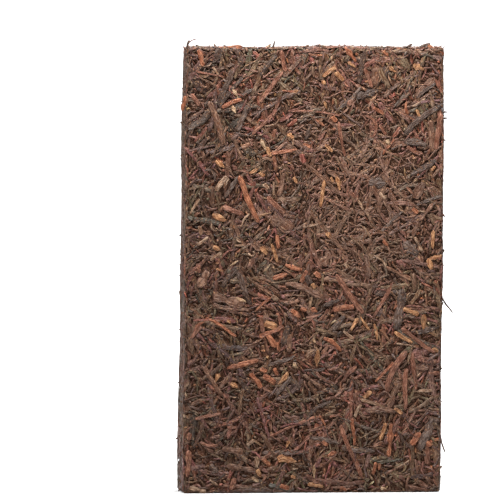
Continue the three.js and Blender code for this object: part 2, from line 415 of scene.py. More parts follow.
BRIGHT = (
    Seen("dark_leaves", CHARRED, (
        (2, 68.8, 105, 57.5, 96.5), (4, -4.5, -2.8, -2, -7.8), (1.6, -61.8, 55.5, -56.9, 55.5, -56.4, 49),
        (1.6, -6, -56.7, 6.7, -55), (1.6, 46.8, -91.2, 55.4, -100.3), (2, -6, -87.5, 1.9, -77.7, 9.9, -73))),
    Seen("broad_flakes", SLATE, (
        (6, 50, 16, 58, 8.6), (6, 30.8, 50, 40.4, 48.5), (3.4, -58.4, -109, -54, -113))),
    Seen("red_pieces", RUSSET, (
        (3, -69, 99, -64, 92), (3, 51.6, 68.8, 61.3, 64.9), (2.4, -65.4, 4, -63.9, -1.4),
        (2.6, 23.8, -53.5, 16.3, -62.6), (3.6, -63.9, -30.6, -70.4, -39), (3, -44.5, -116.3, -46.9, -123.3),
        (2, -64, -96.4, -53.4, -98.7), (3, -69.1, -90.8, -70.5, -95), (1.8, -48.7, -88, -43.2, -88))),
    Seen("red_pieces", RUST, (
        (2, 39, 123, 42, 120), (1.6, 45.2, 73.8, 38.3, 64.4), (2.4, 33.4, 91, 39.3, 87.4),
        (3, 10, 85.8, 12.6, 82.6), (1.6, 0.8, 84, 6, 80.5), (1.6, 52.6, 94.4, 51.5, 91, 53.2, 87),
        (2, -6, 70.8, -1.8, 68.6), (2.6, -3.9, 0, -7.4, -6.9), (2.4, 38.8, 16.6, 41.5, 13.4),
        (3, 0.3, -1, 4, -4.3), (3, 55.4, 34.8, 58.6, 31.5), (2, 37.2, -108.3, 36.7, -112.6),
        (2.2, 14.7, -122, 18.5, -123.8), (3, 62.9, -96, 66, -99.2),
        (1.6, 3, -81.5, 6.7, -87.5), (3, 4.5, -96, 7.8, -98.7), (3, -12.9, -22, -7.9, -26.7),
        (2.6, -30.4, -55, -26.4, -57), (2.2, -22.4, -54.6, -20.4, -59), (2.4, -28.7, -106, -24.2, -109.8),
        (2.8, -19, -120.5, -14, -122.9), (2.4, -20.9, -40, -19.9, -45.6))),
    Seen("red_pieces", AMBER, (
        (2.6, -26.8, 69.4, -24, 63.8), (2.4, -14.8, 76.6, -11.2, 73.8), (3, 12, 110.5, 16.8, 105.7),
        (2, 57.5, 90, 59.7, 85.8), (2, 6, 70.3, 10.5, 66), (2.4, -30.9, 55, -28, 52.6),
        (2.2, -11.5, 52, -9.5, 48.7), (2.2, -23.9, 15, -20.4, 4), (1.8, -54.9, 1, -50.9, -0.4),
        (1.8, 68.2, 58.3, 66, 55.6), (2.2, 63.4, 4.8, 72, 8.6), (4, 64, 6.4, 66, 0),
        (2.6, -1.3, -7.5, 0.8, -10.2), (2.4, 67, -44, 70.4, -46), (2.6, 45.2, -34.7, 56, -41.2),
        (3, 50, -21.4, 59, -25.6), (3, 32.4, -67.9, 28, -72), (2.2, 45.2, -77.7, 50, -81),
        (2.6, -3.5, -120, 5.6, -121.7), (4, -28, -29.6, -20.9, -32), (2, -13, -115.4, -10.2, -116.8),
        (2.4, 12.6, 52.4, 14.7, 44.4))),
    Seen("red_pieces", BUFF, (
        (1.4, -57, 114, -53.7, 109), (1.4, -11.6, 73.8, -11.7, 69.9), (1.8, -47.9, 51.5, -50.9, 46),
        (3, -55.4, 44.5, -48.9, 53), (2.6, -28.5, 48.6, -25.4, 45.5), (1.6, -22.9, 50, -22.4, 41.6),
        (1.3, -44.4, 14, -39.4, 14), (2, -43.9, 18, -40.9, 15.7), (2.6, -64.4, 25, -63.4, 19.6),
        (1.8, -59.4, 19, -65.4, 14), (2, -51.9, 10, -58.4, 5.6), (1.6, -64.4, 40.5, -69.9, 31.5),
        (2.4, 56.5, 18.7, 60.7, 10.1), (2, 16.8, 3.7, 20, 1), (2, 23.3, 40.7, 28, 33.7),
        (2, 36.7, 43.3, 40.9, 40), (1.2, -6, 24, 4.5, 26.5), (1.2, 54.8, 91.7, 62.9, 96),
        (2, 58.6, -68.2, 68.8, -67.4), (2, 16.3, -34, 22.7, -39),
        (2.2, 26, -72.5, 40.4, -77.3), (2.2, 26.5, -75.2, 22.8, -82.7), (1.2, 54.3, -106.7, 46.3, -111.5),
        (3, -23.9, -14.2, -19.9, -16.7), (3, -32, -104.3, -32.4, -111.3), (2.4, -33.4, -95, -37.7, -98.3),
        (1.8, -58.9, -117.3, -53.8, -120.5), (3, -70.5, -122, -60.5, -124))),
    Seen("stems", RUST, (
        (3.6, -41.9, 53.5, -38.9, 44, -30.9, 26.6), (1.8, 45.2, -51.8, 34.5, -63),
        (2.6, -20.9, 20, -19.9, 12), (3, -30.9, -37.6, -16.9, -31.2), (2.2, -59.4, -26.7, -43.4, -37.1),
        (1.8, -66.9, -31.7, -58.9, -26), (1.8, -32.4, -22.7, -28.9, -18.7, -23.5, -15),
        (2.2, 35, -107.8, 33.4, -115.2), (1.2, -18, 100.8, -8.4, 99.9))),
    Seen("stems", AMBER, (
        (2.4, 5.9, 50.9, 3.7, 34.8), (2.6, 12.3, 113.6, 4.8, 107.8), (2.4, 40.4, -85.8, 37.2, -96),
        (2.2, 67, 22.4, 66.6, 11.7), (2.2, 24.9, -26.7, 20.6, -34.1), (1.6, 26, -26.2, 31.3, -34))),
    Seen("golden_buds", AMBER, (
        (2.4, 19, 116.3, 23.8, 113.1), (2, 4.5, 106, 6.7, 103.5), (2, 5.6, 94.4, 7.3, 89.6),
        (2.6, 42, 114, 46.4, 111), (4, 55.9, 115.2, 62.4, 112), (2.6, -54.8, 61.9, -50, 57.2),
        (2.4, -36.4, 54, -30.9, 57.5), (3.6, 7.3, 21.4, 9.9, 17.1), (4, -30.4, 13, -26, 8.6),
        (2.4, -48.9, -27, -47, -30), (2, 34, -30, 36, -40),
        (3.6, 2, -44.5, 1.9, -54.5), (5, 61.8, -25, 61.8, -34), (2.8, -53.6, -57.7, -55.4, -62.6),
        (3.4, -47, -63, -42.4, -66), (3, -14.4, -57, -20.4, -64.6), (4, -20.9, -105.1, -9.3, -107.5),
        (3, -32, -111.7, -29.7, -116.3), (2.4, -14, -95.5, -15.3, -99.7), (2.6, -11.5, 100.3, -8.5, 100.2),
        (4, -57.4, 31.5, -48.9, 27.6), (3, -56.9, 13.6, -51.9, 11), (2.2, 9.4, 52, 11, 48.7))),
    Seen("curls", BUFF, (
        (1.4, 25.4, 24.6, 27.6, 25.2, 29.7, 19.2, 31.9, 17.1), (1.4, 34, 8, 35.6, 8.6, 37.8, 3.2, 39.9, 0.6),
        (1.3, -57.4, 26.6, -57.4, 23.6, -54.4, 22), (1.6, -33.9, 11.6, -33.9, 8.6, -37.9, 9.6),
        (1.4, 46, -41, 58, -43.5), (1.0, -28, 81.3, -22.4, 81.7, -19.6, 85), (1.6, -36.4, 32, -41.9, 24))),
    Seen("golden_buds", STRAW, (
        (2, -45.9, 102, -42, 96), (2, -45.9, 92.3, -43.6, 87.8), (2.2, -29.6, 73.8, -26.8, 67),
        (2.2, 40.4, 73, 43, 70), (1.6, -42.4, 5.6, -47.9, 2), (1.6, -0.8, -38.5, 1.3, -41.2),
        (2.2, -12, -52.6, -9, -55.1), (2.2, 0, -109.4, 0.3, -117.4), (1.8, 37.6, -122.8, 41, -122.8),
        (2, -34.8, -116.3, -30.6, -119), (2.4, -43.9, -15, -37.9, -18), (1.6, -24.4, 3.6, -28.9, -1.4))),
)
STRAYS = (
    Seen("threads", CHARRED, (
        (1.2, 68, -7, 72.7, -15.7, 78.1, -24.9), (1.6, -71.6, 113, -70.1, 129.4),
        (1.2, -21, 115, -22.6, 129.3), (1.2, 66, 87, 75.3, 88.6), (1.2, 67, 84, 75.2, 85.2),
        (1.2, 66, 74, 74.4, 72.8))),
    Seen("threads", SLATE, (
        (1.2, 69, -84, 74.2, -103.5), (1.6, 56, 123.5, 66, 127), (1.6, 45, 123.5, 56, 126.6))),
    Seen("stems", BUFF, ((1.6, -33, 119, -24, 127),)),
    Seen("brown_leaves", RUST, (
        (3, -57, 123.8, -39.7, 124.9), (3, 64, 126, 73.8, 120.5), (2.6, -71.9, 98, -73.5, 89))),
)


WOBBLE = 0.16
WOBBLES = 2.3
LINE_STEPS = 22
LINE = np.linspace(0.0, 1.0, LINE_STEPS)
Lift = Callable[[np.ndarray, np.ndarray, np.ndarray], np.ndarray]
Place = Callable[[np.ndarray, np.ndarray, np.ndarray], np.ndarray]


@dataclass
class Strips:
    """Any number of strips of one kind, laid on one side, with one entry each in every array."""

    kind: Kind
    side: Side
    u: np.ndarray
    v: np.ndarray
    angle: np.ndarray
    length: np.ndarray
    width: np.ndarray
    thickness: np.ndarray
    bend: np.ndarray
    sway: np.ndarray
    roll: np.ndarray
    twist: np.ndarray
    tint: np.ndarray
    seed: np.ndarray
    line: np.ndarray = field(default_factory=lambda: np.zeros((0, 0)))

    def __len__(self) -> int:
        """How many strips there are."""
        return len(self.u)

    def only(self, chosen: np.ndarray) -> "Strips":
        """The strips that a mask or an index array picks."""
        arrays = {k: v[chosen] for k, v in vars(self).items() if isinstance(v, np.ndarray) and len(v)}
        return Strips(**{**vars(self), **arrays})

    @classmethod
    def joined(cls, batches: list["Strips"]) -> "Strips":
        """One set of strips out of several of the same kind and side."""
        arrays = {k: np.concatenate([getattr(b, k) for b in batches])
                  for k, v in vars(batches[0]).items() if isinstance(v, np.ndarray)}
        return cls(**{**vars(batches[0]), **arrays})

    def middle_line(self, s: np.ndarray) -> tuple[np.ndarray, np.ndarray, np.ndarray]:
        """The middle line of every strip at each share s of its length.

        The heading is the strip's angle plus its bend times the distance from the middle, plus one full
        sine wave of sway and a quicker, smaller wave of wobble. Its cosine and sine, added up along the
        length, give the line, which is then moved so that its mean lies at the strip's place.

        Args:
            s: Shares of the length, evenly spaced or not, from 0 to 1.

        Returns:
            The places along and across the side, and the heading, one row for each strip.
        """
        heading = (self.angle[:, None] + self.bend[:, None] * (s - 0.5)
                   + self.sway[:, None] * np.sin(2 * math.pi * s + self.seed[:, None] * 6.0)
                   + WOBBLE * np.sin(WOBBLES * 2 * math.pi * s + self.seed[:, None] * 40.0))
        between = (heading[:, 1:] + heading[:, :-1]) / 2
        steps = np.diff(s) * self.length[:, None]
        start = np.zeros((len(self), 1))
        u = np.hstack((start, np.cumsum(np.cos(between) * steps, axis=1)))
        v = np.hstack((start, np.cumsum(np.sin(between) * steps, axis=1)))
        u += self.u[:, None] - u.mean(axis=1, keepdims=True)
        v += self.v[:, None] - v.mean(axis=1, keepdims=True)
        return u, v, heading


class Bed:
    """The leaf that lies on one side so far: its height over the core, on a square grid.

    CELL is the grid's pitch, MARGIN how far it runs past the side, and BRIM how far past the side its mean
    height is taken. A strip is felt at the shares ACROSS of its half width. STIFF is over how many steps of
    its line it evens out what it lies on, GIVE how far leaf may reach into it, LIFT the share of the rest
    that it is lifted by, and SEAT the share of its thickness that it lies above that leaf. SQUEEZE is the
    share of its height that the bed keeps when it is pressed, SOFT how gently the wall holds it back, and
    VEIL how much leaf may lie over a point that still shows.
    """

    CELL = 0.5
    MARGIN = 12.0
    BRIM = 3.0
    ACROSS = np.linspace(-0.9, 0.9, 7)
    STIFF = 2.6
    GIVE = 0.22
    LIFT = 0.75
    SEAT = 0.42
    SQUEEZE = 0.26
    SOFT = 0.3
    VEIL = 0.06

    def __init__(self, half_u: float, half_v: float) -> None:
        """Starts with a bare core.

        Args:
            half_u: Half the side's size along it.
            half_v: Half its size across it.
        """
        self.low = np.array((-half_u - self.MARGIN, -half_v - self.MARGIN))
        shape = np.ceil(-2 * self.low / self.CELL).astype(int) + 1
        self.height = np.zeros(shape)
        self.level = 0.0
        apart = np.arange(LINE_STEPS)[:, None] - np.arange(LINE_STEPS)[None, :]
        spread = np.exp(-0.5 * (apart / self.STIFF) ** 2)
        self.stiffness = spread / spread.sum(axis=1, keepdims=True)

    def cells(self, u: np.ndarray, v: np.ndarray) -> tuple[np.ndarray, np.ndarray]:
        """The grid cell under each point."""
        i = np.clip(((u - self.low[0]) / self.CELL).round().astype(int), 0, self.height.shape[0] - 1)
        j = np.clip(((v - self.low[1]) / self.CELL).round().astype(int), 0, self.height.shape[1] - 1)
        return i, j

    def footprint(self, strips: Strips) -> tuple[np.ndarray, np.ndarray, np.ndarray]:
        """Points spread over what each strip covers.

        Args:
            strips: The strips.

        Returns:
            Places along and across the side, and the share of the strip's thickness over each, which is
            a half ellipse across its width. The last axis runs across the strip.
        """
        u, v, heading = strips.middle_line(LINE)
        half = strips.width[:, None] / 2 * strips.kind.form.width_at(LINE)
        offset = half[..., None] * self.ACROSS
        return (u[..., None] - np.sin(heading)[..., None] * offset,
                v[..., None] + np.cos(heading)[..., None] * offset,
                np.broadcast_to(np.sqrt(1 - self.ACROSS**2), offset.shape))

    def lay(self, strips: Strips) -> None:
        """Lets strips come to rest on the bed.

        Each strip bends to the highest leaf under it, averaged along its length by its stiffness, and is
        lifted until little of that leaf would reach into it. Its top then joins the bed.

        Args:
            strips: The strips, whose line is set to the height of their middle.
        """
        u, v, share = self.footprint(strips)
        cells = self.cells(u, v)
        under = self.height[cells].max(axis=2)
        rest = under @ self.stiffness.T
        lift = (under - rest).max(axis=1, keepdims=True) - self.GIVE
        rest = rest + np.maximum(lift, 0.0) * self.LIFT
        strips.line = rest + strips.thickness[:, None] * self.SEAT
        top = strips.line[..., None] + strips.thickness[:, None, None] / 2 * share
        np.maximum.at(self.height, cells, top)

    def press(self, flush: float, reach: float) -> None:
        """Finds the level that the mould's wall pressed the bed to.

        The bed's height is averaged over a wide neighbourhood by a Gaussian, through the Fourier
        transform, because a mould presses unevenly laid leaf to one plane.

        Args:
            flush: The share of the surface that ends up flush with the wall.
            reach: How wide the neighbourhood is.
        """
        rows, columns = self.height.shape
        fu = np.fft.fftfreq(rows, self.CELL)[:, None]
        fv = np.fft.rfftfreq(columns, self.CELL)[None, :]
        blur = np.exp(-2 * (math.pi * reach) ** 2 * (fu**2 + fv**2))
        inside = np.zeros_like(self.height)
        m = int((self.MARGIN - self.BRIM) / self.CELL)
        inside[m:-m, m:-m] = 1.0
        mean = np.fft.irfft2(np.fft.rfft2(self.height * inside) * blur, s=self.height.shape)
        weight = np.fft.irfft2(np.fft.rfft2(inside) * blur, s=self.height.shape)
        self.mean = mean / np.maximum(weight, 1e-3)
        self.level = float(np.quantile((self.height - self.mean)[m:-m, m:-m], 1 - flush))

    def rise(self, u: np.ndarray, v: np.ndarray, height: np.ndarray, limit: float) -> np.ndarray:
        """Heights above the mould's wall once the bed is pressed.

        The whole bed is squeezed, so that low places end up nearer the wall. Leaf that stood past the wall
        is held back by a soft minimum, which keeps what lay on top a little above what lay under it.

        Args:
            u: Places along the side.
            v: Places across it.
            height: Heights over the core, before pressing.
            limit: How far leaf may stand past the wall.

        Returns:
            The heights, none of them above the limit.
        """
        past = self.SQUEEZE * (height - self.mean[self.cells(u, v)] - self.level)
        return limit - self.SOFT * np.logaddexp(0.0, (limit - past) / self.SOFT)

    def shown(self, strips: Strips) -> np.ndarray:
        """The share of each strip that nothing covers."""
        u, v, share = self.footprint(strips)
        top = strips.line[..., None] + strips.thickness[:, None, None] / 2 * share
        return (top > self.height[self.cells(u, v)] - self.VEIL).mean(axis=(1, 2))


@dataclass
class Piece:
    """The mesh of one kind of strip while it is gathered from all sides.

    SPRING is the share of its own thickness that pressed leaf springs back by, and RIPPLE the height of the
    waves along it. MOTTLE is how much its colour strays from ring to ring, and DEPTH_SHADE how much red,
    green and blue fall, as powers, at the depth DEEP and below it: painted shade on the strips that lie low
    in the gaps. GIRTH is how long the way round a strip is for its width and thickness. APART moves the grain
    on from strip to strip. In the map that holds a cell for each strip, CELL_SHAPE is how much taller than
    wide a cell is, and PAD the room left free in it.
    """

    SPRING: ClassVar[float] = 0.24
    RIPPLE: ClassVar[float] = 0.11
    MOTTLE: ClassVar[float] = 0.15
    DEEP: ClassVar[float] = 1.0
    DEPTH_SHADE: ClassVar[np.ndarray] = np.array((0.85, 1.6, 2.2))
    GIRTH: ClassVar[float] = 1.6
    APART: ClassVar[tuple[float, float]] = (7.3, 3.1)
    CELL_SHAPE: ClassVar[float] = 1.8
    PAD: ClassVar[float] = 0.08

    kind: Kind
    points: list[np.ndarray] = field(default_factory=list)
    tints: list[np.ndarray] = field(default_factory=list)
    lengths: list[np.ndarray] = field(default_factory=list)
    girths: list[np.ndarray] = field(default_factory=list)

    def stations(self) -> np.ndarray:
        """Where the rings are along a strip, closer together near its ends."""
        even = (np.arange(self.kind.rings) + 0.5) / self.kind.rings
        return even - 0.07 * np.sin(2 * math.pi * even) * 0.9

    def add(self, strips: Strips, rise_of: Lift, place: Place, shaded: float = 1.0) -> None:
        """Adds strips as closed tubes.

        Every ring is a flattened circle: across it the strip's half width times the form's share, and up
        it half the thickness, times one plus the groove times a random furrow. The ring rolls with the
        strip's twist, and every ring's size strays a little. One point closes each end. After pressing, the
        strip springs back by a share of its own thickness. Its colour is darkened and deepened exponentially
        with its depth, as painted shade for the gaps between strips.

        Args:
            strips: Strips that were laid.
            rise_of: Gives the heights above the mould's wall from places and heights over the core.
            place: Gives the points of the brick from places and those heights.
            shaded: How much of that painted shade there is.
        """
        kind, count = self.kind, len(strips)
        rng = np.random.default_rng(int(strips.seed.sum() * 1e4) % (2**31))
        s = np.concatenate(([0.0], self.stations(), [1.0]))
        u, v, heading = strips.middle_line(s)
        weights = [np.maximum(0, 1 - np.abs(LINE - x) * (LINE_STEPS - 1)) for x in s]
        line = np.stack([strips.line @ weight for weight in weights], axis=1)
        stray = 1 + kind.rough * rng.standard_normal((count, len(s)))
        half_width = strips.width[:, None] / 2 * kind.form.width_at(s) * stray
        half_depth = strips.thickness[:, None] / 2 * kind.form.width_at(s) ** 0.6
        if kind.round:
            turn = np.arange(kind.sides) * 2 * math.pi / kind.sides
        else:
            turn = np.append(np.linspace(-0.1, 1.1, kind.sides - 1), 1.5) * math.pi
        flat = np.sign(np.cos(turn)) * np.abs(np.cos(turn)) ** 0.8
        furrow = (rng.standard_normal((count, 1, kind.sides))
                  + 0.5 * rng.standard_normal((count, len(s), kind.sides)))
        sideways = half_width[..., None] * flat
        up = half_depth[..., None] * np.sin(turn) * (1 + kind.groove * np.clip(furrow, -1.6, 1.6))
        roll = (strips.roll[:, None] + strips.twist[:, None] * (s - 0.5))[..., None]
        sideways, up = (sideways * np.cos(roll) - up * np.sin(roll),
                        sideways * np.sin(roll) + up * np.cos(roll))
        ring_u = u[..., None] - np.sin(heading)[..., None] * sideways
        ring_v = v[..., None] + np.cos(heading)[..., None] * sideways
        waves = rng.uniform(0, 2 * math.pi, (2, count, 1))
        ripple = np.sin(9.0 * s + waves[0]) + 0.7 * np.sin(17.0 * s + waves[1])
        ring_h = line[..., None] + up + self.RIPPLE * ripple[..., None]

        def grid_and_poles(values: np.ndarray) -> np.ndarray:
            """The points of the rings in between, then one point for each end."""
            rings = values[:, 1:-1].reshape(count, -1)
            return np.hstack((rings, values[:, :1].mean(axis=2), values[:, -1:].mean(axis=2)))

        pu, pv, ph, own = (grid_and_poles(values) for values in (ring_u, ring_v, ring_h, up))
        rise = rise_of(pu, pv, ph) + self.SPRING * own
        self.points.append(place(pu, pv, rise))
        shade = 1 + self.MOTTLE * rng.standard_normal((count, len(s) - 2, 1)) * np.ones(kind.sides)
        shade = np.clip(np.hstack((shade.reshape(count, -1), np.ones((count, 2)))), 0.5, 1.7)
        # Painted shade: the lower a point lies below the wall, the darker its colour, blue falling most and
        # red least.
        deep = shaded * np.clip(-rise[..., None] / self.DEEP, 0, 1) ** 1.6 * self.DEPTH_SHADE
        self.tints.append(strips.tint[:, None, :] * shade[..., None] * np.exp(-deep))
        self.lengths.append(strips.length)
        self.girths.append((strips.width + strips.thickness) * self.GIRTH)

    def faces(self) -> tuple[np.ndarray, np.ndarray, np.ndarray, np.ndarray]:
        """The faces of one strip: quads from ring to ring, and a fan of triangles at each end.

        Returns:
            The point at each face corner, how many corners each face has, and how far round the strip and
            how far along it each corner lies, as shares.
        """
        sides, rings = self.kind.sides, self.kind.rings
        rows = np.concatenate(([0.0], self.stations(), [1.0]))
        ring, k = np.divmod(np.arange((rings - 1) * sides), sides)
        following = (k + 1) % sides
        quads = np.stack((ring * sides + k, ring * sides + following,
                          (ring + 1) * sides + following, (ring + 1) * sides + k), axis=1)
        around_quads = k[:, None] + np.array((0, 1, 1, 0))
        row_quads = rows[ring[:, None] + np.array((1, 1, 2, 2))]
        k = np.arange(sides)
        foot, tip, last = rings * sides, rings * sides + 1, (rings - 1) * sides
        caps = np.vstack((np.stack((np.full(sides, foot), (k + 1) % sides, k), axis=1),
                          np.stack((np.full(sides, tip), last + k, last + (k + 1) % sides), axis=1)))
        around_caps = np.vstack((np.stack((k + 0.5, k + 1, k), axis=1),
                                 np.stack((k + 0.5, k, k + 1), axis=1)))
        row_caps = np.repeat(rows[np.array(((0, 1, 1), (-1, -2, -2)))], sides, axis=0)
        return (np.concatenate((quads.ravel(), caps.ravel())),
                np.concatenate((np.full(len(quads), 4), np.full(len(caps), 3))),
                np.concatenate((around_quads.ravel(), around_caps.ravel())) / sides,
                np.concatenate((row_quads.ravel(), row_caps.ravel())))

    def build(self, material: bpy.types.Material) -> bpy.types.Object:
        """Writes the mesh and its attributes.

        It gets two maps. The grain runs round and along each strip in millimetres, and the other map gives
        each strip a cell of its own, in rows and columns, for baking.

        Args:
            material: The finish.

        Returns:
            The new object, at the origin.
        """
        points = np.concatenate(self.points)
        count, each = points.shape[:2]
        corners, sizes, around, row = self.faces()
        lengths, girths = np.concatenate(self.lengths), np.concatenate(self.girths)
        first = np.arange(count)[:, None]
        grain = np.stack((around * girths[:, None] + first * self.APART[0],
                          row * lengths[:, None] + first * self.APART[1]), axis=-1)
        columns = math.ceil(math.sqrt(count * self.CELL_SHAPE))
        cell_rows = math.ceil(count / columns)
        inside = 1 - 2 * self.PAD
        atlas = np.stack((((first % columns) + self.PAD + inside * around) / columns,
                          ((first // columns) + self.PAD + inside * row) / cell_rows), axis=-1)
        return write_mesh(
            self.kind.name,
            points.reshape(-1, 3),
            (corners + first * each).ravel(),
            np.tile(sizes, count),
            material,
            {"grain": grain.reshape(-1, 2), "OFBake": atlas.reshape(-1, 2)},
            np.concatenate(self.tints).reshape(-1, 3),
        )


def write_mesh(
    name: str,
    points: np.ndarray,
    corners: np.ndarray,
    sizes: np.ndarray,
    material: bpy.types.Material,
    maps: dict[str, np.ndarray],
    tints: np.ndarray,
) -> bpy.types.Object:
    """Puts arrays into a mesh, with its colours and UV maps.

    Args:
        name: The piece's name.
        points: The vertices, in millimetres.
        corners: The vertex at each face corner, face after face.
        sizes: How many corners each face has.
        material: The finish.
        maps: UV maps by name, one pair for each corner.
        tints: A colour for each vertex.

    Returns:
        The new object, linked to the scene.
    """
    mesh = bpy.data.meshes.new(name)
    mesh.vertices.add(len(points))
    mesh.vertices.foreach_set("co", (points * METRES).astype(np.float32).ravel())
    mesh.loops.add(len(corners))
    mesh.loops.foreach_set("vertex_index", corners.astype(np.int32))
    mesh.polygons.add(len(sizes))
    mesh.polygons.foreach_set("loop_start", np.concatenate(([0], np.cumsum(sizes)[:-1])).astype(np.int32))
    mesh.polygons.foreach_set("use_smooth", np.ones(len(sizes), bool))
    mesh.update(calc_edges=True)
    for key, pairs in maps.items():
        mesh.uv_layers.new(name=key).data.foreach_set("uv", pairs.astype(np.float32).ravel())
    tint = mesh.attributes.new("tint", "FLOAT_COLOR", "POINT")
    tint.data.foreach_set("color", np.hstack((tints, np.ones((len(tints), 1)))).astype(np.float32).ravel())
    mesh.materials.append(material)
    piece = bpy.data.objects.new(name, mesh)
    bpy.context.scene.collection.objects.link(piece)
    return piece


@dataclass
class PressedLeaf:
    """Everything that was dropped in the mould, course by course, and pressed.

    flush is the share of a side that ends up flush with the mould's wall, evenness how wide the patches are
    that the mould presses alike, and most_proud how far leaf may stand past the wall. Strips are dropped in
    batches, and one is left out where less than hidden_below of it shows. bundled is the share that lies in
    bundles, and bundle_stray how far those stray from their bundle's way. On a narrow side strips stray by
    narrow_stray from its length, and they are no longer than narrow_longest and slimmer by narrow_slimmer.
    along_edge is the share that lies along a near edge, edge_stray how far those slant, and over_edge how far
    a strip may reach past it. strewn is how many strips of each fine kind come last for 1000 square mm.

    rub is how strongly the round patch was rubbed even, with its middle, its reach both ways, and how full
    it is there. A band down the left, with its middle and reach, is darker by dim. frays is how many ends
    stand past the outline, fray_slant how far they slant, fray_out the least and most that they stand out,
    and fray_inset how far from the big sides they stay. stray_depth is how deep the longer strays lie.
    """

    mould: Mould
    rng: np.random.Generator
    flush: float = 0.5
    evenness: float = 5.0
    most_proud: float = 0.25
    batch: int = 160
    hidden_below: float = 0.14
    bundled: float = 0.5
    bundle_stray: float = 0.3
    narrow_stray: float = 0.28
    narrow_longest: float = 18.0
    narrow_slimmer: float = 0.72
    along_edge: float = 0.3
    edge_stray: float = 0.18
    over_edge: float = 3.0
    strewn: float = 2.0
    rub: float = 0.65
    rub_middle: tuple[float, float] = (26.0, 34.0)
    rub_reach: tuple[float, float] = (36.0, 40.0)
    rub_full: float = 1.4
    dim: float = 0.4
    dim_middle: float = -74.0
    dim_reach: float = 34.0
    frays: int = 420
    fray_slant: float = 1.2
    fray_out: tuple[float, float] = (0.1, 1.1)
    fray_inset: float = 1.0
    stray_depth: float = 1.5

    def grain(self, u: np.ndarray, v: np.ndarray) -> np.ndarray:
        """The way that most leaf lies at each place: three long waves turn it about."""
        return 1.9 * np.sin(u / 13.0 + v / 31.0 + 0.7) + 1.5 * np.sin(v / 17.0 - u / 41.0 + 2.1) + v / 60.0

    def rubbed(self, u: np.ndarray, v: np.ndarray) -> np.ndarray:
        """How smooth and even each place was rubbed, most in a soft round patch above the middle."""
        (middle_u, middle_v), (reach_u, reach_v) = self.rub_middle, self.rub_reach
        soft = np.exp(-((u - middle_u) / reach_u) ** 2 - ((v - middle_v) / reach_v) ** 2)
        return np.clip(self.rub_full * soft, 0, 1)

    def patches(self, u: np.ndarray, v: np.ndarray) -> np.ndarray:
        """How much lighter and redder than usual the leaf is at each place, as powers for three channels.

        Two waves lighten it and two redden it, and a soft band down the left darkens it.

        Args:
            u: Places along the side, from its middle.
            v: Places across it.

        Returns:
            The powers, with the three channels last.
        """
        lighter = 0.07 * np.sin(u / 6.0 + 1.1 * np.sin(v / 9.0)) + 0.07 * np.sin(v / 7.0 - u / 15.0 + 2.0)
        lighter += 0.03 - self.dim * np.exp(-((u - self.dim_middle) / self.dim_reach) ** 2)
        redder = np.sin(u / 8.0 - v / 5.0 + 2.2) + np.sin(u / 11.0 + v / 9.0 + 0.8)
        return lighter[:, None] + redder[:, None] * REDDER * 0.8

    def colours(self, kind: Kind, side: Side, u: np.ndarray, v: np.ndarray) -> np.ndarray:
        """Picks a colour for each strip.

        It is one of the kind's tints times e to the power of some random strays and the patch that the
        strip lies in. Where a big side was rubbed smooth, it goes over to one brown.

        Args:
            kind: The kind of strip.
            side: The side that they are laid on.
            u: Places along the side, from its middle.
            v: Places across it.

        Returns:
            The colours, in linear light, one row for each strip.
        """
        rng, count = self.rng, len(u)
        weights = np.array([tint.weight for tint in kind.tints])
        picks = rng.choice(len(kind.tints), size=count, p=weights / weights.sum())
        colour = np.array([tint.colour for tint in kind.tints])[picks]
        stray = rng.standard_normal((count, 1)) * 0.04 + rng.standard_normal((count, 1)) * REDDER
        colour = colour * np.exp(stray + self.patches(u, v) + rng.standard_normal((count, 3)) * 0.04)
        if not side.broad:
            return colour
        evened = self.rub * self.rubbed(u, v)[:, None]
        return colour * (1 - evened) + np.array(COCOA) * evened

    def rise(self, u: np.ndarray, v: np.ndarray, height: np.ndarray,
             bed: Bed, limit: float, rub: float) -> np.ndarray:
        """Heights above the mould's wall, shallower by the rub where the side was rubbed smooth."""
        return bed.rise(u, v, height, limit) * (1 - rub * self.rubbed(u, v))

    def scatter(self, kind: Kind, side: Side, count: int, bed: Bed) -> Strips:
        """Picks sizes, places and colours for some strips of one kind.

        Places are drawn at random, and the lowest of a few draws is kept. Some strips on a big side lie
        roughly with the grain, in bundles, and the others anyhow. Strips on a narrow side run mostly along
        it. Near an edge most strips lie along it, and none reaches far past it.

        Args:
            kind: The kind of strip.
            side: The side that they are laid on.
            count: How many there are.
            bed: The leaf that lies there already.

        Returns:
            The strips, not yet laid.
        """
        rng = self.rng
        half_u, half_v, _ = self.mould.halves(side)
        length = kind.lengths[0] + (kind.lengths[1] - kind.lengths[0]) * rng.random(count) ** 1.6
        width = kind.widths[0] + (kind.widths[1] - kind.widths[0]) * rng.random(count) ** 1.2
        u = (rng.random((kind.draws, count)) * 2 - 1) * half_u
        v = (rng.random((kind.draws, count)) * 2 - 1) * half_v
        lowest = bed.height[bed.cells(u, v)].argmin(axis=0)
        u, v = u[lowest, np.arange(count)], v[lowest, np.arange(count)]
        if side.broad:
            angle = rng.random(count) * math.pi
            bundled = self.grain(u, v) + rng.standard_normal(count) * self.bundle_stray
            angle = np.where(rng.random(count) < self.bundled, bundled, angle)
        else:
            lengthwise = 0.0 if half_u > half_v else math.pi / 2
            angle = lengthwise + rng.standard_normal(count) * self.narrow_stray
            length = np.minimum(length, self.narrow_longest)
            width *= self.narrow_slimmer
        near = rng.random(count) < self.along_edge
        slant = rng.standard_normal(count) * self.edge_stray
        angle = np.where(near & (half_u - np.abs(u) < length * 0.3), math.pi / 2 + slant, angle)
        angle = np.where(near & (half_v - np.abs(v) < length * 0.3), slant, angle)
        over = rng.random(count) * self.over_edge
        room_u = np.maximum(half_u + over - np.abs(np.cos(angle)) * length / 2, 0.0)
        room_v = np.maximum(half_v + over - np.abs(np.sin(angle)) * length / 2, 0.0)
        colour = self.colours(kind, side, u, v)
        flatness = kind.flatness[0] + (kind.flatness[1] - kind.flatness[0]) * rng.random(count)
